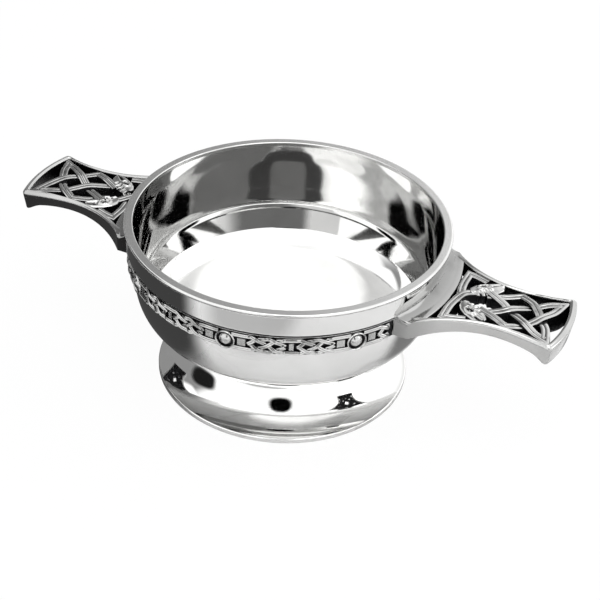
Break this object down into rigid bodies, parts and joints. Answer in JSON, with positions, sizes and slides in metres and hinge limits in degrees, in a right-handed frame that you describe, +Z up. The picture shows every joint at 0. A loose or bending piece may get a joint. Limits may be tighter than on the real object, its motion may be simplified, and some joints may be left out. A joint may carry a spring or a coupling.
{
  "type": "quaich",
  "caption": "Footed drinking bowl with a pair of flat pierced lug handles, a knotwork band set with domed bosses and a flared hollow foot.",
  "frame": {"origin": "centre of the foot's underside, on the surface that the quaich stands on", "axes": "+X along the handles, +Z up out of the bowl"},
  "size_m": [0.1984, 0.11, 0.0607],
  "materials": {
    "polished_pewter": "mirror polished pewter",
    "cast_pewter": "polished cast pewter",
    "blackened_relief": "cast pewter relief, polished on top and blackened in the recesses"
  },
  "bodies": {
    "root": {"bowl": "polished_pewter", "rim_wire": "polished_pewter", "knotwork_band": "blackened_relief", "band_bosses": "polished_pewter", "foot": "polished_pewter", "left_handle_frame": "cast_pewter", "right_handle_frame": "cast_pewter", "left_handle_knotwork": "blackened_relief", "right_handle_knotwork": "blackened_relief"}
  },
  "joints": []
}
